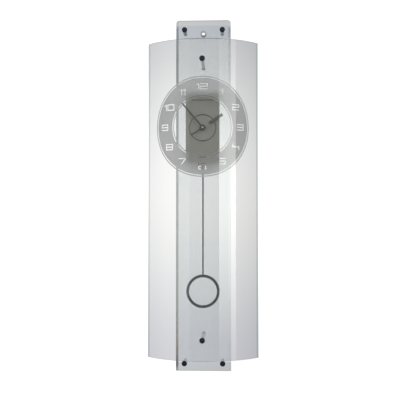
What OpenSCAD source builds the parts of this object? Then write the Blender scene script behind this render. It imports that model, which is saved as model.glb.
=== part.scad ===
// Glass wall clock: a flat glass rear plate on four wall stand-offs, a bent front glass on two
// pillars, a printed dial, a quartz movement and a ring pendulum.
// Millimetres. +Z is up, the viewer stands at -Y and the wall is at +Y.
// The origin is on the axis of the hanging hole, at the rear face of the rear plate.

/* [Rear plate] */
// Width of the flat rear plate
plate_w = 94; // [88:1:110]
// Height of the flat rear plate
plate_h = 600; // [595:1:680]
// Thickness of the flat rear plate
plate_t = 5; // [4:0.5:8]
// Radius of the plate's two top corners
plate_corner_r = 5; // [2:0.5:9]
// Width of the bevel ground along each long edge of the plate's front face
bevel_w = 4.5; // [2:0.5:7]
// Depth of that bevel at the plate's side
bevel_t = 1.2; // [0.6:0.1:2]
// From the plate's top edge down to the hanging hole
hole_drop = 23; // [20:1:30]
// Width of the hanging hole inside its eyelet
hanging_bore_d = 5.4; // [4.4:0.2:6.4]
// Wall of the eyelet's barrel
eyelet_wall = 1.2; // [0.8:0.1:1.6]
// How far the eyelet's rims reach past its barrel
eyelet_rim = 1.2; // [0.8:0.1:2]
// Thickness of each rim of the eyelet
eyelet_rim_t = 0.8; // [0.5:0.1:1.5]

/* [Wall stand-offs] */
// Spacing of the corner screws across the plate
corner_spacing = 65; // [58:1:70]
// From the plate's top edge down to the upper corner screws
corner_top_inset = 16.5; // [12:0.5:20]
// From the plate's bottom edge up to the lower corner screws
corner_bottom_inset = 12.5; // [10:0.5:20]
// Length of a corner stand-off behind the plate
standoff_len = 21; // [12:1:30]
// Radius of a corner stand-off
standoff_r = 3.2; // [3:0.1:5]
// Thickness of the soft pad at the wall end
pad_t = 2; // [1:0.5:4]
// Radius of the domed screw caps
cap_r = 4.6; // [4:0.1:6]
// Height of the domed screw caps
cap_h = 3; // [2:0.1:4]
// Radius of the screw shanks
shank_r = 1.5; // [1.2:0.1:1.8]
// Thickness of the nylon washers under caps and stand-offs
washer_t = 1; // [0.6:0.1:1.5]

/* [Front glass] */
// Height of the bent front glass
front_h = 524.5; // [500:0.5:540]
// Width of the bent glass, straight across between its side edges
front_chord = 184; // [160:1:200]
// Outer radius that the front glass is bent to
front_r = 125; // [110:0.2:140]
// Thickness of the front glass
front_t = 4; // [3:0.5:6]
// From the hanging hole down to the front glass's top edge
front_drop = 24.5; // [22:0.5:30]
// From the front glass's top and bottom edges to the pillars
pillar_inset = 34; // [28:1:42]
// Length of the metal pillars
pillar_len = 61; // [56:1:70]
// Radius of the metal pillars
pillar_r = 3; // [2.8:0.1:5]

/* [Dial] */
// From the front glass's top edge down to the dial's centre
dial_drop = 144; // [140:1:160]
// Outer radius of the frosted dial ring, measured along the glass
dial_r = 82.6; // [80:0.2:88]
// Inner radius of the frosted dial ring
dial_inner_r = 48; // [46:0.5:50]
// Radius of the outer clear circle
outer_line_r = 80; // [78:0.1:80.4]
// Radius of the inner clear circle
inner_line_r = 50.4; // [50:0.1:53]
// Width of the two clear circles
line_w = 1.6; // [1:0.1:2]
// Radius of the circle that the numerals stand on
numeral_r = 65.5; // [64:0.5:68]
// Width of one digit
digit_w = 13.2; // [10:0.2:14]
// Height of one digit
digit_h = 10.6; // [8:0.2:11]
// Stroke of the digits
stroke = 1.7; // [1.2:0.1:2]
// Thickness of the print
print_t = 0.15; // [0.1:0.05:0.3]

/* [Movement case] */
// Width of the movement
case_w = 56; // [54:0.5:56]
// From the hand centre up to the top of the movement
case_up = 57.5; // [54:0.5:60]
// From the hand centre down to the bottom of the movement
case_down = 61; // [60.5:0.5:70]
// Depth of the movement
case_depth = 26; // [26:0.5:30]
// Space between the glass and the movement at the centre line
case_gap = 19.5; // [19:0.5:21]
// Wall of the front case
case_wall = 1.3; // [1:0.1:1.4]
// Radius of the case's four long edges
case_edge_r = 2; // [1:0.5:3]
// Thickness of the rear cover
cover_t = 2; // [1.5:0.1:3]
// Length of the two slots across the case's face
slot_len = 35; // [20:1:40]
// Width of the two slots across the case's face
slot_w = 2; // [1:0.1:3]
// Depth of the two slots
slot_depth = 0.6; // [0.3:0.1:0.8]
// Height of the upper slot above the hand centre
slot_up = 46; // [40:0.2:46]
// Drop of the lower slot below the hand centre
slot_down = 48.4; // [45:0.2:50]
// Outer radius of the soft ring on the case's face
spacer_r = 22.6; // [20:0.2:24]
// Wall of that ring
spacer_wall = 1.6; // [0.8:0.1:2]
// Thickness of that ring
spacer_t = 0.8; // [0.5:0.1:1.2]

/* [Movement fixing] */
// Spacing across of the four posts behind the movement
mount_spread = 40; // [36:1:44]
// From the hand centre up to the upper two posts
mount_up = 30; // [28:0.5:32]
// From the hand centre down to the lower two posts
mount_down = 50; // [46:0.5:52]
// Radius of the posts behind the movement
mount_r = 3; // [2.8:0.1:3.4]

/* [Centre] */
// Outer radius of the threaded bush
bush_r = 4; // [3.8:0.1:4.4]
// Radius of the bush's flange in front of the case
flange_r = 5.5; // [5:0.5:9]
// Thickness of the flange
flange_t = 1; // [0.8:0.1:1.4]
// Outer radius of the hour tube
hour_tube_r = 2.5; // [2.4:0.05:2.7]
// Radius of the minute arbor
minute_arbor_r = 1.55; // [1.3:0.05:1.6]

/* [Hands] */
// Hour that the hands show
time_hour = 1; // [0:1:11]
// Minute that the hands show
time_minute = 53.3; // [0:0.1:59.9]
// Length of the minute hand from the centre
minute_len = 53; // [40:1:55]
// Width of the minute hand
minute_w = 2.5; // [1.6:0.1:4]
// Length of the hour hand from the centre
hour_len = 39.5; // [30:0.5:40]
// Width of the hour hand's broad bar
hour_w = 5; // [3:0.1:6]
// Where the hour hand's broad bar begins
hour_neck = 13.5; // [9:0.5:16]
// Width of the hour hand's narrow neck
neck_w = 0.8; // [0.6:0.1:1.6]
// Length of the hour hand's tail
tail_len = 22; // [12:0.5:26]
// Width of the hour hand's tail
tail_w = 2; // [1:0.1:3]
// Thickness of the sheet that the hands are cut from
hand_t = 0.5; // [0.4:0.1:0.8]

/* [Gear train] */
// Teeth of the cannon pinion that carries the minute hand
cannon_teeth = 12; // [12:1:13]
// Teeth of the motion wheel
motion_teeth = 36; // [36:1:37]
// Teeth of the motion wheel's pinion
motion_pinion_teeth = 10; // [10:1:11]
// Teeth of the hour wheel
hour_teeth = 40; // [39:1:40]
// Teeth of the setting pinion
setting_teeth = 12; // [12:1:13]
// Module of the cannon pinion and motion wheel
motion_module = 0.5; // [0.48:0.01:0.5]
// Teeth of the centre wheel
centre_teeth = 64; // [62:1:64]
// Teeth of the third, fourth and fifth pinions
train_pinion_teeth = 8; // [8:1:9]
// Module of the centre wheel
centre_module = 0.4; // [0.38:0.01:0.4]
// Teeth of the third wheel
third_teeth = 60; // [58:1:60]
// Teeth of the fourth wheel
fourth_teeth = 48; // [46:1:48]
// Teeth of the fifth wheel
fifth_teeth = 45; // [44:1:45]
// Teeth of the rotor's pinion
rotor_teeth = 9; // [9:1:10]
// Module of the third, fourth and fifth wheels
train_module = 0.3; // [0.28:0.01:0.3]
// Thickness of the wheels
wheel_t = 1; // [0.9:0.05:1]
// Air between one wheel and the next
wheel_gap = 0.6; // [0.5:0.05:0.6]
// Thickness of the two train plates
train_plate_t = 1; // [0.9:0.05:1.1]
// Radius of the train's arbors
arbor_r = 0.6; // [0.5:0.02:0.62]
// Radius of the setting knob on the back
knob_r = 7; // [5:0.5:8]
// Height of the setting knob
knob_h = 5; // [4:0.5:7]

/* [Motor and battery] */
// Radius of the rotor's magnet
rotor_r = 3; // [2.6:0.1:3]
// Length of the motor coil
coil_len = 16; // [12:0.5:17]
// Radius of the motor coil
coil_r = 4; // [3:0.1:4.2]
// Radius of the battery
battery_r = 7.1; // [6.8:0.1:7.2]
// Length of the battery
battery_len = 49.8; // [48:0.1:49.8]

/* [Pendulum] */
// From the hand centre down to the pendulum's pivot
pivot_down = 42; // [41.5:0.1:43]
// From the pivot down to the centre of the ring
pendulum_len = 229.5; // [200:0.5:240]
// Outer radius of the pendulum ring
ring_r = 27.8; // [20:0.2:30]
// Width of the ring's band
ring_band = 4.5; // [2:0.1:6]
// Thickness of the ring
ring_t = 2; // [1:0.1:3]
// Width of the pendulum rod
rod_w = 2.4; // [2:0.1:4]
// Thickness of the pendulum rod
rod_t = 0.8; // [0.6:0.1:1]
// Width of the plastic lever that the rod hangs from
lever_w = 6; // [5:0.5:7]
// Thickness of the lever
lever_t = 2.4; // [2.2:0.1:3]
// Swing to each side that the slot under the case leaves room for, in degrees
swing = 6; // [3:0.5:7]

/* [Clearances] */
// Radial running clearance of shafts in their bores
run_gap = 0.05; // [0.03:0.01:0.08]
// Radial clearance of pieces that are pressed or screwed together
seat_gap = 0.02; // [0.01:0.01:0.05]
// Air between neighbouring pieces that don't touch
air = 0.5; // [0.4:0.05:0.6]

/* [Hidden] */
$fn = 64;

// Places of the glass parts
plate_front_y = -plate_t;
apex_in_y = plate_front_y - washer_t - pillar_len - washer_t;
apex_out_y = apex_in_y - front_t;
bend_y = apex_out_y + front_r;
bend_in_r = front_r - front_t;
seat_in_r = bend_in_r - seat_gap / 2;
seat_out_r = front_r + seat_gap / 2;
print_gap = 0.1;
half_angle = asin(front_chord / 2 / front_r);
front_top_z = -front_drop;
front_bottom_z = front_top_z - front_h;
dial_z = front_top_z - dial_drop;
pillar_z = [front_top_z - pillar_inset, front_bottom_z + pillar_inset];
corner_z = [hole_drop - corner_top_inset, hole_drop - plate_h + corner_bottom_inset];
corner_x = [-corner_spacing / 2, corner_spacing / 2];
hole_gap = 0.4;
shank_hole_r = shank_r + hole_gap;
shank_bite = 8;
cap_skirt = 1.2;
cap_lip = 0.4;
eyelet_r = hanging_bore_d / 2 + eyelet_wall;
screw_head_r = 3.6;
screw_head_h = 2;

// Places along the depth of the movement, from the front
case_front_y = apex_in_y + case_gap;
case_in_y = case_front_y + case_wall;
case_back_y = case_front_y + case_depth;
cover_y = case_back_y - cover_t;
hour_y = case_in_y + air;
motion_y = hour_y + wheel_t + wheel_gap;
front_plate_y = motion_y + wheel_t + wheel_gap;
centre_y = front_plate_y + train_plate_t + air;
third_y = centre_y + wheel_t + wheel_gap;
fourth_y = third_y + wheel_t + wheel_gap;
fifth_y = fourth_y + wheel_t + wheel_gap;
rear_plate_y = fifth_y + wheel_t + air + 0.3;
train_back_y = rear_plate_y + train_plate_t;
board_t = 1;
board_back_y = train_back_y + board_t;
screw_tip_y = case_in_y + air;
pinion_over = 0.2;
case_in_x = case_w / 2 - case_wall;

// Gear geometry
pressure_angle = 25;
addendum = 0.75;
dedendum = 1;
backlash = 0.08;
flank_steps = 3;
hour_module = motion_module * (cannon_teeth + motion_teeth) / (motion_pinion_teeth + hour_teeth);
function distance(teeth_a, teeth_b, mod) = (teeth_a + teeth_b) * mod / 2;
function toward(from, dist, angle) = from + dist * [cos(angle), sin(angle)];

// Places of the arbors, in X and Z from the hand centre
motion_dir = 45;
third_dir = 200;
fourth_dir = 250;
fifth_dir = 340;
rotor_dir = 350;
centre_at = [0, 0];
motion_at = toward(centre_at, distance(cannon_teeth, motion_teeth, motion_module), motion_dir);
setting_at = toward(motion_at, distance(motion_teeth, setting_teeth, motion_module), motion_dir);
third_at = toward(centre_at, distance(centre_teeth, train_pinion_teeth, centre_module), third_dir);
fourth_at = toward(third_at, distance(third_teeth, train_pinion_teeth, train_module), fourth_dir);
fifth_at = toward(fourth_at, distance(fourth_teeth, train_pinion_teeth, train_module), fifth_dir);
rotor_at = toward(fifth_at, distance(fifth_teeth, rotor_teeth, train_module), rotor_dir);

// Angle of each gear, so that all pairs mesh at rest
function mesh_phase(phase, teeth, angle, next_teeth) =
  angle + 180 - (0.5 - (angle - phase) * teeth / 360) * 360 / next_teeth;
motion_phase = mesh_phase(0, cannon_teeth, motion_dir, motion_teeth);
setting_phase = mesh_phase(motion_phase, motion_teeth, motion_dir, setting_teeth);
hour_phase = mesh_phase(0, motion_pinion_teeth, motion_dir + 180, hour_teeth);
third_phase = mesh_phase(0, centre_teeth, third_dir, train_pinion_teeth);
fourth_phase = mesh_phase(0, third_teeth, fourth_dir, train_pinion_teeth);
fifth_phase = mesh_phase(0, fourth_teeth, fifth_dir, train_pinion_teeth);
rotor_phase = mesh_phase(0, fifth_teeth, rotor_dir, rotor_teeth);

// Train plates, posts and screws
post_x = 23;
post_top = 19;
post_bottom = -24.5;
post_r = 1.6;
post_screw_r = 0.8;
boss_r = 2.2;
plate_margin = 2.4;
post_places = [[-post_x, post_top], [post_x, post_top], [-post_x, post_bottom], [post_x, post_bottom]];
stud_r = 0.7;
arbor_inner_r = 1;
setting_shaft_r = 1.2;
knob_wall = 1;
knob_y = case_back_y + air;
clutch_collar_r = 2.2;
centre_hub_r = 3;

// Posts behind the movement, in X and Z from the hand centre
mount_x = [-mount_spread / 2, mount_spread / 2];
mount_z = [mount_up, -mount_down];
mount_boss_r = 2.5;
mount_boss_h = 4;

// Hands, from the movement's face outward
bush_proud = 1.2;
bush_front_y = case_front_y - flange_t - bush_proud;
hour_hand_y = bush_front_y - air - hand_t;
collet_t = 1.2;
collet_r = 3.8;
hour_tube_front_y = hour_hand_y - hand_t;
minute_hand_y = hour_tube_front_y - collet_t - air;
hub_h = 1.4;
hub_pin_r = 1.3;
hub_pin_h = 0.5;
hour_step = 30;
hour_angle = hour_step * (time_hour + time_minute / 60);
minute_angle = 360 * time_minute / 60;

// Pendulum
lever_setback = 7;
lever_y = cover_y - lever_setback;
pin_r = 1;
pin_boss_r = 2.5;
pin_front_y = case_in_y + 1;
pin_boss_y = case_in_y + 4;
pin_back_y = cover_y + 1;
cover_boss_h = 2.6;
lever_hub_r = 3.5;
lever_out = 7;
lever_end = case_down + lever_out;
slot_air = 1.2;
lever_slot_half = lever_w / 2 + (case_down - pivot_down) * tan(swing) + slot_air;
magnet_r = 4;
magnet_t = 3;
magnet_below_pivot = 10;
magnet_down = pivot_down + magnet_below_pivot;
drive_coil_r = 7;
drive_coil_core_r = 3;
drive_coil_t = 4.6;
drive_coil_front = lever_y - air - magnet_t - air - drive_coil_t;
rod_grip = 4.5;
rod_top = lever_end - rod_grip;
rod_y = lever_y + (lever_t - rod_t) / 2;
rod_pin_r = 0.6;
rod_pin_down = lever_end - rod_grip / 2;
ring_y = lever_y + (lever_t - ring_t) / 2;
rod_seat = ring_band / 2;

// Motor, circuit and battery
coil_down = 33.5;
stator_leg_w = 5;
core_h = 5;
core_t = 1;
stator_t = 1;
rotor_front_y = front_plate_y + train_plate_t + 2 * air;
rotor_back_y = fifth_y - 2 * air;
stator_y = third_y - air / 2;
stator_reach = 2.2;
stator_margin = rotor_r + stator_reach;
stator_left = rotor_at[0] - stator_margin;
stator_right = stator_left + coil_len + 2 * (stator_leg_w + air);
stator_top = rotor_at[1] + stator_margin;
stator_bottom = rotor_at[1] - stator_margin;
board_w = 49;
board_h = 15;
board_bottom = post_bottom - 2;
battery_air = 2.2;
battery_up = case_up - case_wall - battery_r - battery_air;
battery_y = case_in_y + battery_r + battery_air;
battery_rest_x = battery_len / 3;
battery_rest_h = 10;
battery_nub = 1;
battery_nub_r = 2.6;

// A cylinder along Y from its front end to its rear end
module rod_along_y(x, z, front, rear, r) {
  translate([x, rear, z]) rotate([90, 0, 0]) cylinder(r = r, h = rear - front);
}

// A flat shape in X and Z, from its front face backward
module slab(front, t) {
  translate([0, front + t, 0]) rotate([90, 0, 0]) linear_extrude(height = t) children();
}

module at_dial() {
  translate([0, 0, dial_z]) children();
}

// A tall cylinder on the axis that the front glass is bent about
module bend_space(r) {
  bend_steps = 720;
  translate([0, bend_y, front_bottom_z - 1]) cylinder(r = r, h = front_h + 2, $fn = bend_steps);
}

// A domed cap with a short skirt, its flat side on the XY plane
module dome(r, h) {
  dome_steps = 8;
  rotate_extrude() polygon(concat(
    [[0, 0], [r, 0]],
    [for (i = [0:dome_steps - 1])
      let (a = 90 * i / dome_steps) [r * cos(a), cap_skirt + (h - cap_skirt) * sin(a)]],
    [[0, h]]
  ));
}

module cap_screw(length) {
  dome(cap_r, cap_h);
  translate([0, 0, -length]) cylinder(r = shank_r, h = length + cap_skirt / 2);
}

module at_corners() {
  for (x = corner_x) for (z = corner_z) translate([x, 0, z]) children();
}

module at_pillars() {
  for (z = pillar_z) translate([0, 0, z]) children();
}

module at_mounts() {
  for (x = mount_x) for (z = mount_z) translate([x, 0, dial_z + z]) children();
}

module ring_2d(outer, inner) {
  difference() {
    circle(r = outer);
    circle(r = inner);
  }
}

function polar(r, a) = [r * cos(a), r * sin(a)];
function involute(a) = tan(a) * 180 / PI - a;

// Points of one tooth, from its right root over the tip to its left root
function tooth_points(mid, half, base, root, tip) =
  let (
    start = max(base, root),
    radii = [for (i = [0:flank_steps]) start + (tip - start) * i / flank_steps],
    halves = [for (r = radii) half + involute(pressure_angle) - involute(acos(min(1, base / r)))]
  )
  concat(
    root < base ? [polar(root, mid - halves[0])] : [],
    [for (i = [0:flank_steps]) polar(radii[i], mid - halves[i])],
    [for (i = [flank_steps:-1:0]) polar(radii[i], mid + halves[i])],
    root < base ? [polar(root, mid + halves[0])] : []
  );

module gear_2d(teeth, mod, phase) {
  pitch = teeth * mod / 2;
  half = 90 / teeth - backlash / 2 / pitch * 180 / PI;
  polygon([for (i = [0:teeth - 1]) each tooth_points(
    phase + 360 * i / teeth, half, pitch * cos(pressure_angle),
    pitch - dedendum * mod, pitch + addendum * mod
  )]);
}

module place(at) {
  translate([at[0], 0, dial_z + at[1]]) children();
}

// A wheel with four windows between its rim and its hub
module wheel_2d(teeth, mod, phase, hub) {
  rim_w = 1.1;
  spoke = 1.2;
  rim = teeth * mod / 2 - dedendum * mod - rim_w;
  difference() {
    gear_2d(teeth, mod, phase);
    if (rim > hub + 1) difference() {
      ring_2d(rim, hub);
      for (a = [0, 90]) rotate(a) square([2 * rim + 1, spoke], center = true);
    }
  }
}

// An arbor between the train plates with a wheel and a pinion on it
module train_arbor(teeth, mod, phase, wheel_front, pinion_teeth, pinion_mod, pinion_phase, pinion_front) {
  hub_wall = 1.4;
  slab(wheel_front, wheel_t) wheel_2d(teeth, mod, phase, arbor_r + hub_wall);
  slab(pinion_front - pinion_over, wheel_t + 2 * pinion_over)
    gear_2d(pinion_teeth, pinion_mod, pinion_phase);
  rod_along_y(0, 0, front_plate_y, train_back_y, arbor_r);
}

module plate_outline() {
  top = hole_drop;
  bottom = hole_drop - plate_h;
  translate([-plate_w / 2, bottom]) square([plate_w, plate_h - plate_corner_r]);
  translate([-plate_w / 2 + plate_corner_r, bottom])
    square([plate_w - 2 * plate_corner_r, top - bottom]);
  for (s = [-1, 1])
    translate([s * (plate_w / 2 - plate_corner_r), top - plate_corner_r]) circle(r = plate_corner_r);
}

// The wedge ground off one long edge, drawn half its size past both ends of its slope
module plate_bevel(side) {
  spare_w = side * bevel_w / 2;
  spare_t = bevel_t / 2;
  edge_x = side * plate_w / 2;
  inner_x = edge_x - side * bevel_w - spare_w;
  front_y = plate_front_y - spare_t;
  back_y = plate_front_y + bevel_t + spare_t;
  translate([0, 0, hole_drop - plate_h - 1]) linear_extrude(plate_h + 2)
    polygon([[inner_x, front_y], [edge_x + spare_w, front_y], [edge_x + spare_w, back_y]]);
}

module rear_plate() {
  color([0.78, 0.84, 0.85, 0.4]) difference() {
    slab(plate_front_y, plate_t) difference() {
      plate_outline();
      circle(r = eyelet_r + seat_gap);
      for (x = corner_x) for (z = corner_z) translate([x, z]) circle(r = shank_hole_r);
      for (z = pillar_z) translate([0, z]) circle(r = shank_hole_r);
      for (x = mount_x) for (z = mount_z) translate([x, dial_z + z]) circle(r = shank_hole_r);
    }
    plate_bevel(-1);
    plate_bevel(1);
  }
}

module hanging_eyelet() {
  color([0.12, 0.12, 0.13]) difference() {
    union() {
      rod_along_y(0, 0, plate_front_y - eyelet_rim_t, eyelet_rim_t, eyelet_r);
      rod_along_y(0, 0, plate_front_y - eyelet_rim_t, plate_front_y, eyelet_r + eyelet_rim);
      rod_along_y(0, 0, 0, eyelet_rim_t, eyelet_r + eyelet_rim);
    }
    rod_along_y(0, 0, plate_front_y - eyelet_rim_t - 1, eyelet_rim_t + 1, hanging_bore_d / 2);
  }
}

module corner_standoffs() {
  color([0.1, 0.1, 0.11]) at_corners() difference() {
    rod_along_y(0, 0, washer_t, washer_t + standoff_len, standoff_r);
    rod_along_y(0, 0, 0, washer_t + shank_bite + air, shank_r + seat_gap);
  }
}

module wall_pads() {
  color([0.2, 0.2, 0.2]) at_corners()
    rod_along_y(0, 0, washer_t + standoff_len, washer_t + standoff_len + pad_t, standoff_r);
}

module corner_washers() {
  color([0.85, 0.85, 0.85]) at_corners() {
    slab(plate_front_y - washer_t, washer_t) ring_2d(cap_r - cap_lip, shank_hole_r);
    slab(0, washer_t) ring_2d(standoff_r, shank_hole_r);
  }
}

module corner_cap_screws() {
  color([0.07, 0.07, 0.08]) at_corners()
    translate([0, plate_front_y - washer_t, 0]) rotate([90, 0, 0])
      cap_screw(washer_t + plate_t + washer_t + shank_bite);
}

module front_glass() {
  color([0.86, 0.9, 0.91, 0.4]) difference() {
    translate([0, bend_y, front_bottom_z]) rotate([0, 0, 270 - half_angle])
      rotate_extrude(angle = 2 * half_angle, $fn = 180)
        translate([bend_in_r, 0]) square([front_t, front_h]);
    at_pillars() rod_along_y(0, 0, apex_out_y - 1, apex_in_y + 1, shank_hole_r);
  }
}

// A circle drawn on the flat glass before it is bent, seen along Y
module wrapped_circle(r) {
  points = 90;
  polygon([for (i = [0:points - 1])
    let (a = 360 * i / points) [bend_in_r * sin(r * cos(a) / bend_in_r * 180 / PI), r * sin(a)]]);
}

// A straight stroke between two points
module stroke_line(from, to) {
  d = to - from;
  translate(from) rotate(atan2(d[1], d[0])) translate([0, -stroke / 2]) square([norm(d), stroke]);
}

// Plain square-shouldered digits, centred on the origin
module digit(n) {
  w = n == 1 ? digit_w / 3 : digit_w;
  x = w / 2 - stroke / 2;
  y = digit_h / 2 - stroke / 2;
  bar = [w, stroke];
  half_bar = [stroke, digit_h / 2];
  flag_drop = 1.6 * stroke;
  stem_h = 0.7 * digit_h;
  foot_x = 0.4 * x;
  has_top = n != 1 && n != 4;
  has_middle = n != 0 && n != 1 && n != 7;
  has_bottom = n != 1 && n != 4 && n != 7;
  left_up = n == 0 || n == 5 || n == 6 || n == 8 || n == 9;
  right_up = n == 0 || n == 2 || n == 3 || n == 8 || n == 9;
  left_down = n == 0 || n == 2 || n == 6 || n == 8;
  right_down = n == 0 || n == 3 || n == 5 || n == 6 || n == 8 || n == 9;
  if (has_top) translate([0, y]) square(bar, center = true);
  if (has_middle) square(bar, center = true);
  if (has_bottom) translate([0, -y]) square(bar, center = true);
  if (left_up) translate([-x, digit_h / 4]) square(half_bar, center = true);
  if (right_up) translate([x, digit_h / 4]) square(half_bar, center = true);
  if (left_down) translate([-x, -digit_h / 4]) square(half_bar, center = true);
  if (right_down) translate([x, -digit_h / 4]) square(half_bar, center = true);
  if (n == 1) {
    translate([x - stroke / 2, -digit_h / 2]) square([stroke, digit_h]);
    stroke_line([x, digit_h / 2 - stroke / 2], [-x - stroke / 2, digit_h / 2 - flag_drop]);
  }
  if (n == 4) {
    translate([x - stroke / 2, -digit_h / 2]) square([stroke, stem_h]);
    stroke_line([-w / 2 + stroke, 0], [-w / 2 + stroke / 2, digit_h / 2]);
  }
  if (n == 7) stroke_line([x, y], [-foot_x, -digit_h / 2]);
}

module numeral(n) {
  gap = 1.2;
  one = digit_w / 3;
  if (n < 10) digit(n);
  if (n == 11) for (s = [-1, 1]) translate([s * (one + gap) / 2, 0]) digit(1);
  if (n == 10 || n == 12) {
    translate([-(digit_w + gap) / 2, 0]) digit(1);
    translate([(one + gap) / 2, 0]) digit(n - 10);
  }
}

module dial_print() {
  shell_front = bend_y - bend_in_r - 1;
  shell_back = bend_y;
  color([0.62, 0.63, 0.63, 0.6]) difference() {
    intersection() {
      difference() {
        bend_space(bend_in_r - print_gap);
        bend_space(bend_in_r - print_gap - print_t);
      }
      at_dial() slab(shell_front, shell_back - shell_front) difference() {
        wrapped_circle(dial_r);
        wrapped_circle(dial_inner_r);
      }
    }
    for (r = [outer_line_r, inner_line_r])
      at_dial() slab(shell_front, shell_back - shell_front) difference() {
        wrapped_circle(r + line_w / 2);
        wrapped_circle(r - line_w / 2);
      }
    for (n = [1:12]) {
      along = numeral_r * sin(hour_step * n) / bend_in_r * 180 / PI;
      at_dial() translate([0, bend_y, numeral_r * cos(hour_step * n)]) rotate([0, 0, along])
        slab(-bend_in_r - 1, 3) numeral(n);
    }
  }
}

module front_pillars() {
  color([0.66, 0.67, 0.68]) at_pillars() difference() {
    rod_along_y(0, 0, apex_in_y + washer_t, plate_front_y - washer_t, pillar_r);
    rod_along_y(0, 0, apex_in_y, apex_in_y + washer_t + shank_bite + air, shank_r + seat_gap);
    rod_along_y(0, 0, plate_front_y - washer_t - shank_bite - air, plate_front_y, shank_r + seat_gap);
  }
}

module pillar_washers() {
  color([0.85, 0.85, 0.85]) at_pillars() {
    slab(plate_front_y - washer_t, washer_t) ring_2d(pillar_r, shank_hole_r);
    slab(0, washer_t) ring_2d(screw_head_r, shank_hole_r);
  }
  color([0.85, 0.85, 0.85]) {
    intersection() {
      at_pillars() slab(apex_in_y - 1, washer_t + 1) ring_2d(pillar_r, shank_hole_r);
      bend_space(seat_in_r);
    }
    difference() {
      at_pillars() slab(apex_out_y - washer_t, washer_t + 1) ring_2d(cap_r - cap_lip, shank_hole_r);
      bend_space(seat_out_r);
    }
  }
}

module front_cap_screws() {
  color([0.07, 0.07, 0.08]) at_pillars()
    translate([0, apex_out_y - washer_t, 0]) rotate([90, 0, 0])
      cap_screw(washer_t + front_t + washer_t + shank_bite);
}

module pillar_rear_screws() {
  color([0.45, 0.45, 0.46]) at_pillars() {
    rod_along_y(0, 0, washer_t, washer_t + screw_head_h, screw_head_r);
    rod_along_y(0, 0, plate_front_y - washer_t - shank_bite, washer_t, shank_r);
  }
}

// Outline of the case in X and Z, with round corners
module case_outline(inset) {
  r = max(case_edge_r - inset, 0.4);
  w = case_w / 2 - inset;
  top = case_up - inset;
  bottom = -case_down + inset;
  translate([-w + r, bottom]) square([2 * (w - r), top - bottom]);
  translate([-w, bottom + r]) square([2 * w, top - bottom - 2 * r]);
  for (x = [-w + r, w - r]) for (z = [bottom + r, top - r]) translate([x, z]) circle(r = r);
}

module lever_slot() {
  depth = lever_t + 2 * slot_air;
  translate([-lever_slot_half, lever_y + lever_t / 2 - depth / 2, -case_down - 1])
    cube([2 * lever_slot_half, depth, case_wall + 2]);
}

// Bosses, studs and rests that stand on the inside of the case's face
module case_inside() {
  rest = 3;
  for (at = post_places)
    rod_along_y(at[0], at[1], case_in_y, front_plate_y, boss_r);
  rod_along_y(motion_at[0], motion_at[1], case_in_y, front_plate_y - air / 2, stud_r);
  rod_along_y(0, -magnet_down, case_in_y, drive_coil_front, drive_coil_core_r);
  rod_along_y(0, -pivot_down, case_in_y, pin_boss_y, pin_boss_r);
  for (s = [-1, 1])
    translate([s * battery_rest_x - rest / 2, case_in_y, battery_up - battery_rest_h / 2])
      cube([rest, battery_y - battery_r + 1 - case_in_y, battery_rest_h]);
  for (x = [stator_left + 1, stator_right - 1 - rest])
    translate([x, case_in_y, -coil_down - rest / 2])
      cube([rest, stator_y - case_in_y, rest]);
}

module movement_front_case() {
  color([0.45, 0.46, 0.42]) at_dial() difference() {
    union() {
      difference() {
        slab(case_front_y, case_depth - cover_t) case_outline(0);
        slab(case_in_y, case_depth) case_outline(case_wall);
      }
      case_inside();
    }
    rod_along_y(0, 0, case_front_y - 1, case_in_y + 1, bush_r + seat_gap);
    for (z = [slot_up, -slot_down])
      translate([-slot_len / 2, case_front_y - 1, z - slot_w / 2])
        cube([slot_len, slot_depth + 1, slot_w]);
    for (at = post_places)
      rod_along_y(at[0], at[1], screw_tip_y, front_plate_y + 1, post_screw_r + seat_gap);
    rod_along_y(0, -pivot_down, pin_front_y, pin_boss_y + 1, pin_r + seat_gap);
    battery_space(battery_r + seat_gap);
    lever_slot();
  }
}

module movement_rear_cover() {
  lip = 1.2;
  lip_wall = 1.1;
  window_w = battery_len + 2 * air;
  window_h = 2 * (battery_r + air);
  color([0.42, 0.43, 0.4]) at_dial() difference() {
    union() {
      slab(cover_y, cover_t) case_outline(0);
      slab(cover_y - lip, lip) difference() {
        case_outline(case_wall + seat_gap);
        case_outline(case_wall + lip_wall);
      }
      rod_along_y(0, -pivot_down, cover_y - cover_boss_h, cover_y, pin_boss_r);
      for (x = mount_x) for (z = mount_z)
        rod_along_y(x, z, cover_y - mount_boss_h, cover_y, mount_boss_r);
    }
    for (x = mount_x) for (z = mount_z)
      rod_along_y(x, z, cover_y - mount_boss_h - 1, case_back_y + 1, shank_r + seat_gap);
    translate([-window_w / 2, cover_y - lip - 1, battery_up - window_h / 2])
      cube([window_w, cover_t + lip + 2, window_h]);
    rod_along_y(setting_at[0], setting_at[1], cover_y - 1, case_back_y + 1, setting_shaft_r + run_gap);
    rod_along_y(0, -pivot_down, cover_y - cover_boss_h - 1, pin_back_y, pin_r + seat_gap);
  }
}

module face_clips() {
  clip_len = slot_len / 3;
  clip_apart = 2 * clip_len;
  color([0.9, 0.9, 0.88]) at_dial() for (s = [-1, 1])
    translate([(s * clip_apart - clip_len) / 2, case_front_y, -slot_down])
      cube([clip_len, slot_depth, slot_w / 2]);
}

module spacer_ring() {
  color([0.25, 0.26, 0.22]) at_dial()
    slab(case_front_y - spacer_t, spacer_t) ring_2d(spacer_r, spacer_r - spacer_wall);
}

module threaded_bush() {
  color([0.78, 0.63, 0.33]) at_dial() difference() {
    union() {
      rod_along_y(0, 0, bush_front_y, case_in_y, bush_r);
      rod_along_y(0, 0, case_front_y - flange_t, case_front_y, flange_r);
    }
    rod_along_y(0, 0, bush_front_y - 1, case_in_y + 1, hour_tube_r + run_gap);
  }
}

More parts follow.
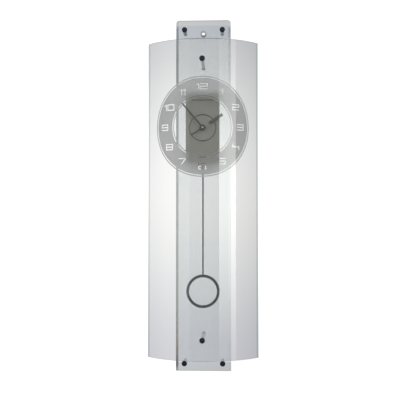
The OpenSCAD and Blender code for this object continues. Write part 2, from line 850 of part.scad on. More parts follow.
module movement_posts() {
  color([0.66, 0.67, 0.68]) at_mounts() difference() {
    rod_along_y(0, 0, case_back_y, plate_front_y - washer_t, mount_r);
    rod_along_y(0, 0, case_back_y - 1, plate_front_y, shank_hole_r);
  }
}

module mount_washers() {
  color([0.85, 0.85, 0.85]) at_mounts() {
    slab(plate_front_y - washer_t, washer_t) ring_2d(mount_r, shank_hole_r);
    slab(0, washer_t) ring_2d(screw_head_r, shank_hole_r);
  }
}

module movement_screws() {
  color([0.45, 0.45, 0.46]) at_mounts() {
    rod_along_y(0, 0, washer_t, washer_t + screw_head_h, screw_head_r);
    rod_along_y(0, 0, cover_y - mount_boss_h + air, washer_t, shank_r);
  }
}

module train_plate_outline() {
  left = -post_x - plate_margin;
  bottom = post_bottom - plate_margin;
  translate([left, bottom])
    square([2 * (post_x + plate_margin), post_top - post_bottom + 2 * plate_margin]);
}

// One train plate, seen along Y, with the bores that carry the arbors
module train_plate_2d() {
  difference() {
    train_plate_outline();
    for (at = [third_at, fourth_at, fifth_at, rotor_at])
      translate(at) circle(r = arbor_r + run_gap);
    for (at = post_places) translate(at) circle(r = post_screw_r + seat_gap);
    translate(setting_at) circle(r = setting_shaft_r + run_gap);
    circle(r = arbor_inner_r + run_gap);
  }
}

module front_train_plate() {
  color([0.78, 0.76, 0.68]) at_dial() slab(front_plate_y, train_plate_t) train_plate_2d();
}

module rear_train_plate() {
  color([0.8, 0.78, 0.7]) at_dial() slab(rear_plate_y, train_plate_t) train_plate_2d();
}

module plate_posts() {
  post_front = front_plate_y + train_plate_t;
  color([0.75, 0.62, 0.35]) for (at = post_places) place(at)
    slab(post_front, rear_plate_y - post_front) ring_2d(post_r, post_screw_r + seat_gap);
}

module plate_screws() {
  head_t = 0.9;
  color([0.6, 0.6, 0.62]) for (at = post_places) place(at) {
    head_y = at[1] < 0 ? board_back_y : train_back_y;
    rod_along_y(0, 0, screw_tip_y, head_y, post_screw_r);
    rod_along_y(0, 0, head_y, head_y + head_t, post_r);
  }
}

module minute_arbor() {
  shoulder_y = motion_y + wheel_t + pinion_over;
  color([0.75, 0.6, 0.32]) at_dial() {
    rod_along_y(0, 0, minute_hand_y - hub_h, shoulder_y, minute_arbor_r);
    slab(motion_y - pinion_over, wheel_t + 2 * pinion_over) gear_2d(cannon_teeth, motion_module, 0);
    rod_along_y(0, 0, shoulder_y, train_back_y, arbor_inner_r);
    rod_along_y(0, 0, fourth_y - wheel_gap, fourth_y + wheel_gap, clutch_collar_r);
  }
}

module minute_hand() {
  color([0.05, 0.05, 0.05]) at_dial() rotate([0, minute_angle, 0]) slab(minute_hand_y, hand_t)
    difference() {
      union() {
        translate([-minute_w / 2, 0]) square([minute_w, minute_len]);
        circle(r = collet_r);
      }
      circle(r = minute_arbor_r + seat_gap);
    }
}

module hub_cap() {
  color([0.05, 0.05, 0.05]) at_dial() difference() {
    rod_along_y(0, 0, minute_hand_y - hub_h, minute_hand_y, collet_r);
    rod_along_y(0, 0, minute_hand_y - hub_h - 1, minute_hand_y + 1, minute_arbor_r + seat_gap);
  }
}

module hub_pin() {
  color([0.85, 0.85, 0.85]) at_dial()
    rod_along_y(0, 0, minute_hand_y - hub_h - hub_pin_h, minute_hand_y - hub_h, hub_pin_r);
}

module hour_wheel() {
  color([0.85, 0.82, 0.7]) at_dial() difference() {
    union() {
      slab(hour_y, wheel_t) gear_2d(hour_teeth, hour_module, hour_phase);
      rod_along_y(0, 0, hour_tube_front_y, hour_y + wheel_t, hour_tube_r);
    }
    rod_along_y(0, 0, hour_tube_front_y - 1, hour_y + wheel_t + 1, minute_arbor_r + run_gap);
  }
}

module hour_hand() {
  color([0.05, 0.05, 0.05]) at_dial() rotate([0, hour_angle, 0]) {
    slab(hour_hand_y, hand_t) difference() {
      union() {
        translate([-neck_w / 2, 0]) square([neck_w, hour_neck + 1]);
        translate([-hour_w / 2, hour_neck]) square([hour_w, hour_len - hour_neck]);
        translate([-tail_w / 2, -tail_len]) square([tail_w, tail_len]);
        circle(r = collet_r);
      }
      circle(r = hour_tube_r + seat_gap);
    }
  }
}

module motion_wheel() {
  pinion_front = hour_y - pinion_over;
  color([0.86, 0.84, 0.76]) place(motion_at) difference() {
    union() {
      slab(motion_y, wheel_t) gear_2d(motion_teeth, motion_module, motion_phase);
      slab(pinion_front, motion_y - pinion_front + wheel_t)
        gear_2d(motion_pinion_teeth, hour_module, 0);
    }
    rod_along_y(0, 0, pinion_front - 1, motion_y + wheel_t + 1, stud_r + run_gap);
  }
}

module setting_pinion() {
  color([0.86, 0.84, 0.76]) place(setting_at) {
    slab(motion_y - pinion_over, wheel_t + 2 * pinion_over)
      gear_2d(setting_teeth, motion_module, setting_phase);
    rod_along_y(0, 0, motion_y - pinion_over, knob_y + knob_h - knob_wall, setting_shaft_r);
  }
}

module setting_knob() {
  grooves = 24;
  groove_r = 0.5;
  color([0.3, 0.3, 0.29]) place(setting_at) difference() {
    rod_along_y(0, 0, knob_y, knob_y + knob_h, knob_r);
    rod_along_y(0, 0, knob_y - 1, knob_y + knob_h - knob_wall, setting_shaft_r + seat_gap);
    for (i = [0:grooves - 1]) rotate([0, 360 * i / grooves, 0])
      rod_along_y(knob_r + groove_r / 4, 0, knob_y + knob_wall, knob_y + knob_h + 1, groove_r);
  }
}

module centre_wheel() {
  color([0.8, 0.65, 0.36]) at_dial() {
    slab(centre_y, wheel_t) difference() {
      wheel_2d(centre_teeth, centre_module, 0, centre_hub_r + 1);
      circle(r = arbor_inner_r + run_gap);
    }
    slab(centre_y + wheel_t, wheel_gap) ring_2d(centre_hub_r, arbor_inner_r + run_gap);
  }
}

module third_wheel() {
  color([0.8, 0.65, 0.36]) place(third_at) train_arbor(
    third_teeth, train_module, 0, third_y,
    train_pinion_teeth, centre_module, third_phase, centre_y
  );
}

module fourth_wheel() {
  color([0.86, 0.84, 0.76]) place(fourth_at) train_arbor(
    fourth_teeth, train_module, 0, fourth_y,
    train_pinion_teeth, train_module, fourth_phase, third_y
  );
}

module fifth_wheel() {
  color([0.86, 0.84, 0.76]) place(fifth_at) train_arbor(
    fifth_teeth, train_module, 0, fifth_y,
    train_pinion_teeth, train_module, fifth_phase, fourth_y
  );
}

module rotor_pinion() {
  color([0.86, 0.84, 0.76]) place(rotor_at) {
    slab(fifth_y - pinion_over, wheel_t + 2 * pinion_over)
      gear_2d(rotor_teeth, train_module, rotor_phase);
    rod_along_y(0, 0, front_plate_y, train_back_y, arbor_r);
  }
}

module rotor_magnet() {
  color([0.35, 0.35, 0.37]) place(rotor_at) difference() {
    rod_along_y(0, 0, rotor_front_y, rotor_back_y, rotor_r);
    rod_along_y(0, 0, rotor_front_y - 1, rotor_back_y + 1, arbor_r + seat_gap);
  }
}

module stator() {
  leg_bottom = -coil_down - core_h / 2;
  color([0.6, 0.61, 0.62]) at_dial() slab(stator_y, stator_t) difference() {
    union() {
      translate([stator_left, stator_bottom])
        square([stator_right - stator_left, stator_top - stator_bottom]);
      for (x = [stator_left, stator_right - stator_leg_w])
        translate([x, leg_bottom]) square([stator_leg_w, stator_bottom - leg_bottom + 1]);
    }
    translate(rotor_at) circle(r = rotor_r + air);
  }
}

module coil_core() {
  color([0.6, 0.61, 0.62]) at_dial()
    translate([stator_left, stator_y + stator_t, -coil_down - core_h / 2])
      cube([stator_right - stator_left, core_t, core_h]);
}

module motor_coil() {
  mid_x = (stator_left + stator_right) / 2;
  mid_y = stator_y + stator_t + core_t / 2;
  flange_extra = 0.6;
  color([0.72, 0.4, 0.2]) at_dial() translate([mid_x, mid_y, -coil_down]) difference() {
    rotate([0, 90, 0]) {
      cylinder(r = coil_r, h = coil_len, center = true);
      for (s = [-1, 1]) translate([0, 0, s * (coil_len - 1) / 2])
        cylinder(r = coil_r + flange_extra, h = 1, center = true);
    }
    cube([coil_len + 2, core_t + 2 * seat_gap, core_h + 2 * seat_gap], center = true);
  }
}

module circuit_board() {
  color([0.16, 0.35, 0.2]) at_dial() slab(train_back_y, board_t) difference() {
    translate([-board_w / 2, board_bottom]) square([board_w, board_h]);
    for (at = [fourth_at, fifth_at, rotor_at]) translate(at) circle(r = arbor_r + air);
    for (at = post_places) translate(at) circle(r = post_screw_r + seat_gap);
  }
}

module circuit_chip() {
  chip_r = 3.2;
  chip_t = 1.6;
  color([0.06, 0.06, 0.06]) at_dial()
    rod_along_y(board_w / 4, board_bottom + board_h / 2, board_back_y, board_back_y + chip_t, chip_r);
}

module quartz_crystal() {
  can_r = 1.5;
  can_h = 6;
  color([0.75, 0.75, 0.77]) at_dial()
    rod_along_y(board_w / 8, board_bottom + board_h / 2, board_back_y, board_back_y + can_h, can_r);
}

// The round body of the battery, at the given radius
module battery_space(r) {
  translate([-battery_len / 2, battery_y, battery_up]) rotate([0, 90, 0])
    cylinder(r = r, h = battery_len - battery_nub);
}

module battery() {
  color([0.5, 0.52, 0.53]) at_dial() {
    battery_space(battery_r);
    translate([0, battery_y, battery_up]) rotate([0, 90, 0])
      cylinder(r = battery_nub_r, h = battery_len / 2);
  }
}

module battery_contacts() {
  slack = case_in_x - battery_len / 2;
  h = battery_rest_h;
  color([0.8, 0.8, 0.8]) at_dial() for (s = [-1, 1])
    translate([s > 0 ? battery_len / 2 : -case_in_x, battery_y - h / 2, battery_up - h / 2])
      cube([slack, h, h]);
}

module drive_coil() {
  color([0.72, 0.4, 0.2]) place([0, -magnet_down])
    rod_along_y(0, 0, drive_coil_front, drive_coil_front + drive_coil_t, drive_coil_r);
}

module pendulum_pin() {
  color([0.7, 0.7, 0.72]) place([0, -pivot_down])
    rod_along_y(0, 0, pin_front_y, pin_back_y, pin_r);
}

module pendulum_lever() {
  fork = rod_t + 2 * seat_gap;
  color([0.9, 0.9, 0.88]) at_dial() difference() {
    slab(lever_y, lever_t) {
      translate([0, -pivot_down]) circle(r = lever_hub_r);
      translate([-lever_w / 2, -lever_end]) square([lever_w, lever_end - pivot_down]);
      translate([0, -magnet_down]) circle(r = magnet_r + 1);
    }
    rod_along_y(0, -pivot_down, lever_y - 1, lever_y + lever_t + 1, pin_r + run_gap);
    translate([-lever_w, rod_y - seat_gap, -lever_end - 1])
      cube([2 * lever_w, fork, lever_end - rod_top + 1 + seat_gap]);
    rod_along_y(0, -rod_pin_down, lever_y - 1, lever_y + lever_t + 1, rod_pin_r + seat_gap);
  }
}

module lever_magnet() {
  color([0.55, 0.56, 0.58]) place([0, -magnet_down])
    rod_along_y(0, 0, lever_y - magnet_t, lever_y, magnet_r);
}

module rod_pin() {
  color([0.7, 0.7, 0.72]) place([0, -rod_pin_down])
    rod_along_y(0, 0, lever_y - air, lever_y + lever_t + air, rod_pin_r);
}

module pendulum_rod() {
  bottom = pivot_down + pendulum_len - ring_r + rod_seat;
  color([0.42, 0.43, 0.45]) at_dial() slab(rod_y, rod_t) difference() {
    translate([-rod_w / 2, -bottom]) square([rod_w, bottom - rod_top]);
    translate([0, -rod_pin_down]) circle(r = rod_pin_r + seat_gap);
  }
}

module pendulum_ring() {
  color([0.25, 0.28, 0.3]) place([0, -pivot_down - pendulum_len]) difference() {
    slab(ring_y, ring_t) ring_2d(ring_r, ring_r - ring_band);
    translate([-rod_w / 2 - seat_gap, rod_y - seat_gap, ring_r - rod_seat])
      cube([rod_w + 2 * seat_gap, rod_t + 2 * seat_gap, rod_seat + 1]);
  }
}

rear_plate();
hanging_eyelet();
corner_standoffs();
wall_pads();
corner_washers();
corner_cap_screws();
front_glass();
dial_print();
front_pillars();
pillar_washers();
front_cap_screws();
pillar_rear_screws();
movement_front_case();
movement_rear_cover();
face_clips();
spacer_ring();
threaded_bush();
movement_posts();
mount_washers();
movement_screws();
front_train_plate();
rear_train_plate();
plate_posts();
plate_screws();
minute_arbor();
minute_hand();
hub_cap();
hub_pin();
hour_wheel();
hour_hand();
motion_wheel();
setting_pinion();
setting_knob();
centre_wheel();
third_wheel();
fourth_wheel();
fifth_wheel();
rotor_pinion();
rotor_magnet();
stator();
coil_core();
motor_coil();
circuit_board();
circuit_chip();
quartz_crystal();
battery();
battery_contacts();
drive_coil();
pendulum_pin();
pendulum_lever();
lever_magnet();
rod_pin();
pendulum_rod();
pendulum_ring();
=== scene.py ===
import math

import bpy
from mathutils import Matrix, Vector


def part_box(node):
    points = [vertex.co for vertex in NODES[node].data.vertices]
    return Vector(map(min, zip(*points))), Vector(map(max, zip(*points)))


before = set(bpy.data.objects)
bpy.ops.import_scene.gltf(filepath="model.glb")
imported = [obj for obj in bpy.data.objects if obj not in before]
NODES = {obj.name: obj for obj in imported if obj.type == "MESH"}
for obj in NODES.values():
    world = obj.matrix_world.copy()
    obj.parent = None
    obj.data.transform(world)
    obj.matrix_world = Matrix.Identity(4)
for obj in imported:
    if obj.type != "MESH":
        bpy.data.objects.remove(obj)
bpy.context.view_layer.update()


def middle(name):
    """The centre of a node's box."""
    low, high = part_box(name)
    return (Vector(low) + Vector(high)) / 2


# Helpers for node trees
def new_material(name):
    """An empty node material, its tree and its output node."""
    mat = bpy.data.materials.new(name)
    mat.use_nodes = True
    tree = mat.node_tree
    tree.nodes.clear()
    out = tree.nodes.new("ShaderNodeOutputMaterial")
    return mat, tree, out


def link(tree, a, b):
    """A wire from the output a to the input b."""
    tree.links.new(a, b)


def math_of(tree, operation, a, b=0.0):
    """The result of one operation on two values, each a float or an output."""
    node = tree.nodes.new("ShaderNodeMath")
    node.operation = operation
    for socket, value in zip(node.inputs, (a, b)):
        if isinstance(value, float):
            socket.default_value = value
        else:
            link(tree, value, socket)
    return node.outputs["Value"]


def rescaled(tree, value, low, high, to_low, to_high, smooth=False):
    """A value carried from one range to another, and held at the ends."""
    node = tree.nodes.new("ShaderNodeMapRange")
    if smooth:
        node.interpolation_type = "SMOOTHSTEP"
    node.inputs["From Min"].default_value = low
    node.inputs["From Max"].default_value = high
    node.inputs["To Min"].default_value = to_low
    node.inputs["To Max"].default_value = to_high
    link(tree, value, node.inputs["Value"])
    return node.outputs["Result"]


def along_axis(tree, kind, axis):
    """One of the three numbers of a texture coordinate."""
    coord = tree.nodes.new("ShaderNodeTexCoord")
    axes = tree.nodes.new("ShaderNodeSeparateXYZ")
    link(tree, coord.outputs[kind], axes.inputs["Vector"])
    return axes.outputs[axis]


def colour_ramp(tree, value, low, high, stops, steps=False):
    """A colour for a value in metres. stops is a list of (metres, colour)."""
    ramp = tree.nodes.new("ShaderNodeValToRGB")
    ramp.color_ramp.interpolation = "CONSTANT" if steps else "LINEAR"
    marks = ramp.color_ramp.elements
    for i, (at, c) in enumerate(stops):
        mark = marks[i] if i < 2 else marks.new(1.0)
        mark.position = min(max((at - low) / (high - low), 0), 1)
        mark.color = (*c, 1)
    link(tree, rescaled(tree, value, low, high, 0.0, 1.0), ramp.inputs["Fac"])
    return ramp.outputs["Color"]


def mixed(tree, share, a, b, kind="MIX"):
    """Two colours mixed, by a share that is a float or an output."""
    mix = tree.nodes.new("ShaderNodeMix")
    mix.data_type = "RGBA"
    mix.blend_type = kind
    if isinstance(share, float):
        mix.inputs["Factor"].default_value = share
    else:
        link(tree, share, mix.inputs["Factor"])
    link(tree, a, mix.inputs["A"])
    link(tree, b, mix.inputs["B"])
    return mix.outputs["Result"]


def times(tree, a, b):
    """The product of two colours."""
    return mixed(tree, 1.0, a, b, "MULTIPLY")


def mixed_shaders(tree, share, a, b):
    """Two shaders mixed, by a share that is a float or an output."""
    mix = tree.nodes.new("ShaderNodeMixShader")
    if isinstance(share, float):
        mix.inputs["Fac"].default_value = share
    else:
        link(tree, share, mix.inputs["Fac"])
    link(tree, a, mix.inputs[1])
    link(tree, b, mix.inputs[2])
    return mix.outputs["Shader"]


def bumped(tree, height, strength, distance, shader):
    """A fine relief on a shader."""
    bump = tree.nodes.new("ShaderNodeBump")
    bump.inputs["Strength"].default_value = strength
    bump.inputs["Distance"].default_value = distance
    link(tree, height, bump.inputs["Height"])
    link(tree, bump.outputs["Normal"], shader.inputs["Normal"])


def grey(v):
    """The neutral colour of brightness v."""
    return (v, v, v)


def root(c):
    """The tint that one of a pane's two faces takes, for a tint of the whole pane."""
    return tuple(math.sqrt(v) for v in c)


# Kinds of material
COAT_ROUGH = 0.05
MOTTLE_LOW = 0.3
MOTTLE_HIGH = 0.7
GRAIN_FINER = 20
GRAIN_RELIEF = 0.0002


def solid(name, colour, rough=0.5, metal=0.0, spec=0.5, coat=0.0, bump=0.0, scale=60.0, vary=0.0):
    """A solid, opaque material. vary mottles its tone a little, and bump gives it a fine grain."""
    mat, tree, out = new_material(name)
    p = tree.nodes.new("ShaderNodeBsdfPrincipled")
    p.inputs["Roughness"].default_value = rough
    p.inputs["Metallic"].default_value = metal
    p.inputs["Specular IOR Level"].default_value = spec
    p.inputs["Coat Weight"].default_value = coat
    p.inputs["Coat Roughness"].default_value = COAT_ROUGH
    p.inputs["Base Color"].default_value = (*colour, 1)
    coord = tree.nodes.new("ShaderNodeTexCoord")
    if vary:
        mottle = tree.nodes.new("ShaderNodeTexNoise")
        mottle.inputs["Scale"].default_value = scale
        mottle.inputs["Detail"].default_value = 3
        link(tree, coord.outputs["Object"], mottle.inputs["Vector"])
        ramp = tree.nodes.new("ShaderNodeValToRGB")
        dark, light = ramp.color_ramp.elements
        dark.position = MOTTLE_LOW
        dark.color = (*[c * (1 - vary) for c in colour], 1)
        light.position = MOTTLE_HIGH
        light.color = (*[min(1, c * (1 + vary)) for c in colour], 1)
        link(tree, mottle.outputs["Fac"], ramp.inputs["Fac"])
        link(tree, ramp.outputs["Color"], p.inputs["Base Color"])
    if bump:
        grain = tree.nodes.new("ShaderNodeTexNoise")
        grain.inputs["Scale"].default_value = scale * GRAIN_FINER
        grain.inputs["Detail"].default_value = 2
        link(tree, coord.outputs["Object"], grain.inputs["Vector"])
        bumped(tree, grain.outputs["Fac"], bump, GRAIN_RELIEF, p)
    link(tree, p.outputs["BSDF"], out.inputs["Surface"])
    return mat


POLISH_ROUGH = 0.02
POLISH_IOR = 1.6


def pane(name, tone):
    """Clear sheet glass. Light goes straight through each face with a tint, and outward faces mirror by
    Fresnel. tone(tree) gives the tint of one face."""
    mat, tree, out = new_material(name)
    see = tree.nodes.new("ShaderNodeBsdfTransparent")
    link(tree, tone(tree), see.inputs["Color"])
    shine = tree.nodes.new("ShaderNodeBsdfGlossy")
    shine.inputs["Roughness"].default_value = POLISH_ROUGH
    fresnel = tree.nodes.new("ShaderNodeFresnel")
    fresnel.inputs["IOR"].default_value = POLISH_IOR
    side = tree.nodes.new("ShaderNodeNewGeometry")
    outer = math_of(tree, "SUBTRACT", 1.0, side.outputs["Backfacing"])
    mirror = math_of(tree, "MULTIPLY", fresnel.outputs["Fac"], outer)
    surface = mixed_shaders(tree, mirror, see.outputs["BSDF"], shine.outputs["BSDF"])
    link(tree, surface, out.inputs["Surface"])
    return mat


def frosted(name, tint, white, white_share, rough, ior, shadow):
    """Etched or printed frost. What lies behind shows blurred, under a veil of pale scatter.
    shadow is the share of light that passes it on the way to other pieces."""
    mat, tree, out = new_material(name)
    blur = tree.nodes.new("ShaderNodeBsdfRefraction")
    blur.inputs["Roughness"].default_value = rough
    blur.inputs["IOR"].default_value = ior
    blur.inputs["Color"].default_value = (*tint, 1)
    veil = tree.nodes.new("ShaderNodeBsdfDiffuse")
    veil.inputs["Color"].default_value = (*white, 1)
    frost = mixed_shaders(tree, white_share, blur.outputs["BSDF"], veil.outputs["BSDF"])
    path = tree.nodes.new("ShaderNodeLightPath")
    past = tree.nodes.new("ShaderNodeBsdfTransparent")
    past.inputs["Color"].default_value = (*shadow, 1)
    surface = mixed_shaders(tree, path.outputs["Is Shadow Ray"], frost, past.outputs["BSDF"])
    link(tree, surface, out.inputs["Surface"])
    return mat


EDGE_SCATTER = (0.16, 0.22, 0.21)
EDGE_ROUGH = 0.25


def edge_glass(name, tint, scatter_share):
    """The edge of sheet glass: a little scatter, and darker by painted shade for the light the edge bends
    away.
    """
    mat, tree, out = new_material(name)
    see = tree.nodes.new("ShaderNodeBsdfTransparent")
    see.inputs["Color"].default_value = (*tint, 1)
    scatter = tree.nodes.new("ShaderNodeBsdfPrincipled")
    scatter.inputs["Base Color"].default_value = (*EDGE_SCATTER, 1)
    scatter.inputs["Roughness"].default_value = EDGE_ROUGH
    surface = mixed_shaders(tree, scatter_share, see.outputs["BSDF"], scatter.outputs["BSDF"])
    link(tree, surface, out.inputs["Surface"])
    return mat


WIRE_BANDS = 900
WIRE_RELIEF = 0.0001


def winding(name, colour):
    """Lacquered copper wire: fine turns along the coil's axis, drawn as close bands."""
    mat, tree, out = new_material(name)
    p = tree.nodes.new("ShaderNodeBsdfPrincipled")
    p.inputs["Roughness"].default_value = 0.3
    p.inputs["Metallic"].default_value = 0.9
    p.inputs["Base Color"].default_value = (*colour, 1)
    coord = tree.nodes.new("ShaderNodeTexCoord")
    wave = tree.nodes.new("ShaderNodeTexWave")
    wave.inputs["Scale"].default_value = WIRE_BANDS
    wave.bands_direction = "X"
    link(tree, coord.outputs["Object"], wave.inputs["Vector"])
    bumped(tree, wave.outputs["Fac"], 0.5, WIRE_RELIEF, p)
    link(tree, p.outputs["BSDF"], out.inputs["Surface"])
    return mat


def dress(mat, *names):
    """The one material of each named node."""
    for name in names:
        mesh = NODES[name].data
        mesh.materials.clear()
        mesh.materials.append(mat)


def dress_faces(name, mat, is_picked):
    """A second material on the faces that is_picked chooses by centre and normal."""
    mesh = NODES[name].data
    mesh.materials.append(mat)
    last = len(mesh.materials) - 1
    for face in mesh.polygons:
        if is_picked(face.center, face.normal):
            face.material_index = last


# Front glass
FRONT_TINT = grey(0.585)
FRONT_SLANT_TINT = (0.478, 0.478, 0.485)
SLANT_FULL = 0.4
# The hue's ramp reaches a little beyond the sheet
HUE_LOW_Z = -0.56
HUE_HIGH_Z = 0.0
# The hue passes one in places. It is divided by this, and the tint is multiplied by it.
HEADROOM = 1.07


def front_painted_room_light(tree):
    """The hue along the front glass's height, cooler towards its foot. It is painted room light, not a tint
    of the glass itself.
    """
    by_height = [
        (-0.540, (1.00, 1.00, 1.06)),
        (-0.490, (1.00, 1.01, 1.045)),
        (-0.440, (1.00, 1.015, 1.025)),
        (-0.390, (1.00, 1.005, 1.00)),
        (-0.330, (1.00, 1.00, 0.98)),
        (-0.100, (0.99, 1.00, 0.99)),
        (-0.030, (0.95, 0.96, 0.97)),
    ]
    stops = [(z, root([v / HEADROOM for v in c])) for z, c in by_height]
    return colour_ramp(tree, along_axis(tree, "Object", "Z"), HUE_LOW_Z, HUE_HIGH_Z, stops)


def front_tone(tree):
    """The front glass's tint, deeper where the sheet is seen at a slant, times the painted room light along
    its height.
    """
    weight = tree.nodes.new("ShaderNodeLayerWeight")
    weight.inputs["Blend"].default_value = 0.5
    ramp = tree.nodes.new("ShaderNodeValToRGB")
    square, slant = ramp.color_ramp.elements
    square.position = 0.0
    square.color = (*root([v * HEADROOM for v in FRONT_TINT]), 1)
    slant.position = SLANT_FULL
    slant.color = (*root([v * HEADROOM for v in FRONT_SLANT_TINT]), 1)
    link(tree, weight.outputs["Facing"], ramp.inputs["Fac"])
    return times(tree, ramp.outputs["Color"], front_painted_room_light(tree))


# Rear plate
BLACK = grey(0.0)
CLEAR = grey(1.0)
# The ramps reach a little beyond the plate
RAMP_LOW_Z = -0.6
RAMP_HIGH_Z = 0.05
RAMP_HALF = 0.048
LEFT_BEVEL_X = (-0.0436, -0.0424)
RIGHT_BEVEL_X = (0.0425, 0.0432)
# Heights at which a strip begins. A ramp is read in 256 steps, so its edge falls up to 2.5 mm above.
FOOT_STRIP_Z = -0.5715
CLEAR_PART_Z = -0.5628
TOP_STRIP_Z = -0.0100
TOP_END_Z = 0.0120


def plate_ramp(tree, axis, stops, steps=False):
    """A colour that changes along the rear plate's height, or across its width."""
    low, high = (RAMP_LOW_Z, RAMP_HIGH_Z) if axis == "Z" else (-RAMP_HALF, RAMP_HALF)
    return colour_ramp(tree, along_axis(tree, "Object", axis), low, high, stops, steps)


def bevel_painted_reflection(tree):
    """The bevels along the plate's long edges, in painted reflections: the left dark and warm at its foot,
    the right faint.
    """
    left = plate_ramp(tree, "Z", [
        (-0.573, root(grey(0.5))),
        (-0.567, root(grey(0.16))),
        (-0.533, root((0.42, 0.37, 0.27))),
        (-0.490, root((0.45, 0.47, 0.41))),
        (-0.254, root((0.48, 0.50, 0.49))),
        (-0.045, root((0.37, 0.37, 0.39))),
        (0.011, root((0.41, 0.45, 0.46))),
        (0.0125, root(grey(0.8))),
    ])
    right = plate_ramp(tree, "Z", [
        (-0.577, root(grey(0.9))),
        (-0.400, CLEAR),
        (-0.150, CLEAR),
        (-0.045, root(grey(0.80))),
        (-0.019, root(grey(0.72))),
        (0.011, root(grey(0.58))),
        (0.0125, CLEAR),
    ])
    on_left = plate_ramp(tree, "X", [(LEFT_BEVEL_X[0], CLEAR), (LEFT_BEVEL_X[1], BLACK)])
    on_right = plate_ramp(tree, "X", [(RIGHT_BEVEL_X[0], BLACK), (RIGHT_BEVEL_X[1], CLEAR)])
    plain = plate_ramp(tree, "X", [(-RAMP_HALF, CLEAR), (RAMP_HALF, CLEAR)])
    return mixed(tree, on_right, mixed(tree, on_left, plain, left), right)


def plate_tone(tree):
    """The rear plate's tint: clear in the middle, with a blue-grey strip and a grey end above and below."""
    # Painted shade: the darker blue-grey strips and grey ends stand in for the shaded wall seen through the
    # plate.
    painted_shade_strips = plate_ramp(tree, "Z", [
        (RAMP_LOW_Z, root((0.48, 0.485, 0.49))),
        (FOOT_STRIP_Z, root((0.47, 0.50, 0.54))),
        (CLEAR_PART_Z, root((0.765, 0.79, 0.80))),
        (TOP_STRIP_Z, root((0.41, 0.44, 0.475))),
        (TOP_END_Z, root((0.49, 0.495, 0.50))),
    ], steps=True)
    return times(tree, painted_shade_strips, bevel_painted_reflection(tree))


# Glass and dial
front_glass = pane("front_glass", front_tone)
rear_plate = pane("rear_plate", plate_tone)
dial_frost = frosted(
    "dial_frost",
    tint=grey(0.85),
    white=grey(0.85),
    white_share=0.16,
    rough=0.75,
    ior=1.4,
    shadow=grey(0.93),
)

dress(front_glass, "front_glass")
dress(rear_plate, "rear_plate")
dress(dial_frost, "dial_print")

# Metals, magnets and wire
standoff_alu = solid("standoff_aluminium", (0.8, 0.82, 0.84), rough=0.5, metal=0.1)
rim_metal = solid("eyelet_metal", (0.3, 0.31, 0.32), rough=0.3, metal=0.8)
pillar_alu = solid("pillar_aluminium", (0.5, 0.51, 0.52), rough=0.3, metal=1.0)
steel = solid("screw_steel", (0.45, 0.45, 0.46), rough=0.3, metal=1.0)
brass = solid("brass", (0.62, 0.43, 0.17), rough=0.3, metal=1.0, vary=0.05)
lamination = solid("lamination", (0.36, 0.36, 0.37), rough=0.35, metal=1.0)
can_metal = solid("can_metal", (0.68, 0.68, 0.7), rough=0.18, metal=1.0)
ferrite = solid("ferrite", (0.05, 0.05, 0.055), rough=0.6, vary=0.1)
copper = winding("copper_winding", (0.55, 0.22, 0.09))

dress(rim_metal, "hanging_eyelet")
dress(standoff_alu, "corner_standoffs")
dress(pillar_alu, "front_pillars", "movement_posts")
dress(steel, "pillar_rear_screws", "movement_screws", "plate_screws")
dress(steel, "battery_contacts", "pendulum_pin", "rod_pin")
dress(brass, "plate_posts", "minute_arbor", "centre_wheel", "third_wheel")
dress(lamination, "stator", "coil_core")
dress(can_metal, "quartz_crystal")
dress(ferrite, "rotor_magnet", "lever_magnet")
dress(copper, "motor_coil", "drive_coil")

# Plastics, rubber, circuit and battery
case_grey = solid("case_plastic", (0.37, 0.375, 0.32), rough=0.5, bump=0.05, scale=90, vary=0.04)
# Light plastic; on the clips and the hub pin its brightness is a painted glint.
clip_light_and_glint = solid("clip_plastic", (0.85, 0.85, 0.82), rough=0.4)
bush_grey = solid("bush_plastic", (0.12, 0.122, 0.11), rough=0.4)
acetal = solid("gear_plastic", (0.68, 0.66, 0.6), rough=0.4)
plate_grey = solid("train_plate_plastic", (0.05, 0.05, 0.048), rough=0.5)
knob_grey = solid("knob_plastic", (0.05, 0.05, 0.05), rough=0.45)
cap_black = solid("cap_black", (0.010, 0.014, 0.021), rough=0.35, spec=0.08)
clear_nylon = solid("washer_nylon", (0.8, 0.82, 0.83), rough=0.45)
pad_rubber = solid("pad_rubber", (0.6, 0.61, 0.62), rough=0.8, bump=0.1)
board_green = solid("board_green", (0.02, 0.1, 0.035), rough=0.35, vary=0.1)
chip_black = solid("chip_black", (0.015, 0.015, 0.015), rough=0.3)
battery_grey = solid("battery_wrap", (0.14, 0.145, 0.15), rough=0.25, coat=0.3)

dress(case_grey, "movement_front_case", "movement_rear_cover")
dress(clip_light_and_glint, "face_clips", "pendulum_lever", "hub_pin")
dress(bush_grey, "threaded_bush")
dress(acetal, "hour_wheel", "motion_wheel", "setting_pinion")
dress(acetal, "fourth_wheel", "fifth_wheel", "rotor_pinion")
dress(plate_grey, "front_train_plate", "rear_train_plate")
dress(knob_grey, "setting_knob")
dress(cap_black, "corner_cap_screws", "front_cap_screws")
dress(clear_nylon, "corner_washers", "pillar_washers", "mount_washers")
dress(pad_rubber, "wall_pads")
dress(board_green, "circuit_board")
dress(chip_black, "circuit_chip")
dress(battery_grey, "battery")

# Minute hand, hub and pendulum
hand_black = solid("hand_black", (0.045, 0.045, 0.04), rough=0.5)
hub_black = solid("hub_black", (0.03, 0.03, 0.026), rough=0.5, spec=0.2)
rod_grey = solid("pendulum_rod_steel", (0.14, 0.145, 0.14), rough=0.4)
ring_grey = solid("pendulum_lacquer", (0.05, 0.06, 0.062), rough=0.45)

dress(hand_black, "minute_hand")
dress(hub_black, "hub_cap")
dress(rod_grey, "pendulum_rod")
dress(ring_grey, "pendulum_ring")

# Hour hand
TAIL_BLACK = (0.03, 0.03, 0.027)
NECK_PAINTED_REFLECTION = (0.36, 0.365, 0.31)
BAR_BLACK = (0.1, 0.1, 0.09)
NECK_FROM = 0.004
NECK_TO = 0.012
HAND_REACH = 0.02


